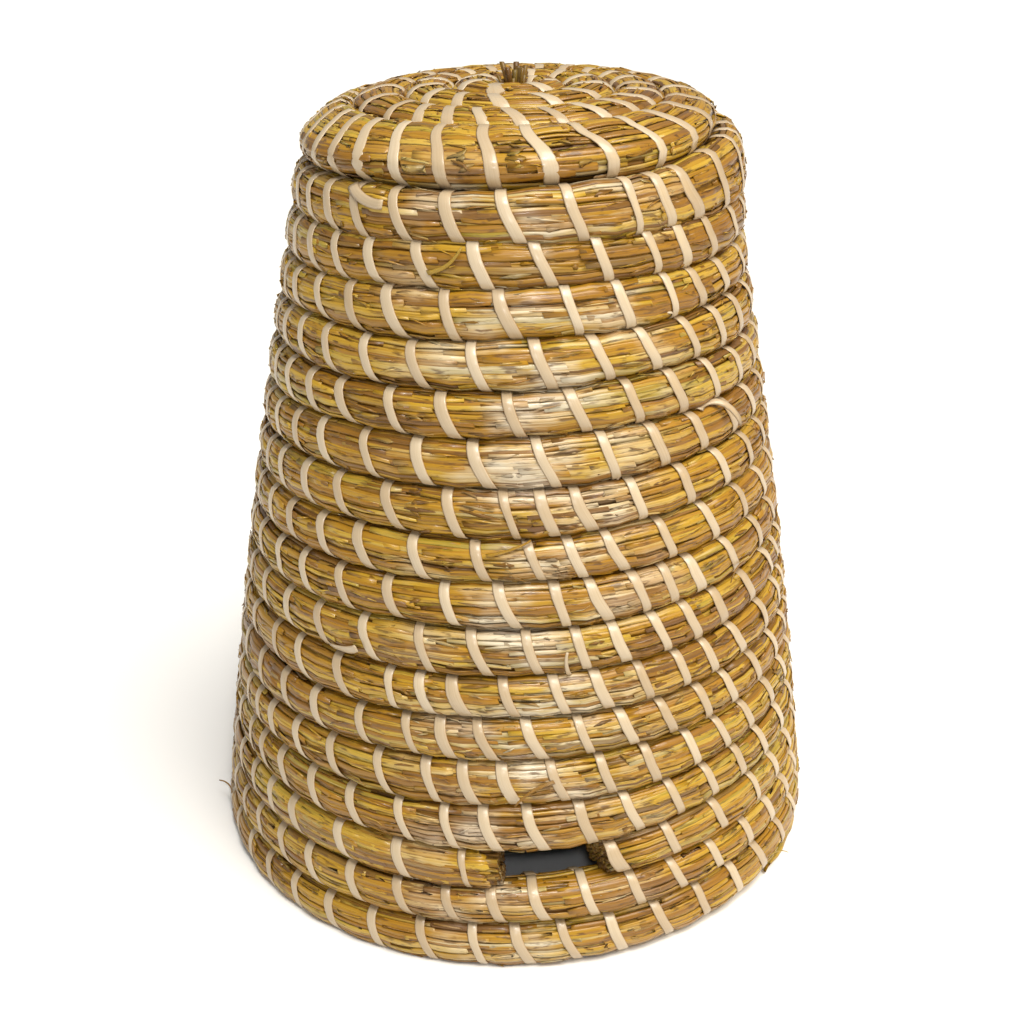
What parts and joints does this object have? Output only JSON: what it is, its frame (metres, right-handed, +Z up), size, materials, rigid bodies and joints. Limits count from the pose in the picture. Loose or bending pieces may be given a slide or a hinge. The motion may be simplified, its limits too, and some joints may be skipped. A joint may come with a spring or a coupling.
{
  "type": "bee skep",
  "caption": "Tall coiled-straw bee skep: a tapering wound wall sewn with split cane, a flattened dome crown, an open foot and a slot entrance.",
  "frame": {"origin": "on the ground under the middle of the foot", "axes": "+Z up through the crown; -Y towards the side that has the entrance; +X to the right as seen from the front"},
  "size_m": [0.4091, 0.4102, 0.501],
  "materials": {
    "straw": "glossy dry wheat or rye straw, gold to brown",
    "foot_straw": "the same straw in the rope's lower length",
    "split_cane": "pale split cane with its smooth, half-glossy bark side out",
    "straw_ends": "matte brown cut straw ends"
  },
  "bodies": {
    "root": {"straw_rope_foot": "foot_straw", "straw_rope_upper": "straw", "crown_tuft": "straw_ends", "cane_foot_01": "split_cane", "cane_foot_02": "split_cane", "cane_wall_01": "split_cane", "cane_wall_02": "split_cane", "cane_wall_03": "split_cane", "cane_wall_04": "split_cane", "cane_wall_05": "split_cane", "cane_wall_06": "split_cane", "cane_wall_07": "split_cane", "cane_wall_08": "split_cane", "cane_wall_09": "split_cane", "cane_wall_10": "split_cane", "cane_wall_11": "split_cane", "cane_wall_12": "split_cane", "cane_wall_13": "split_cane", "cane_wall_14": "split_cane", "cane_wall_15": "split_cane", "cane_wall_16": "split_cane", "cane_wall_17": "split_cane", "cane_wall_18": "split_cane"}
  },
  "joints": []
}
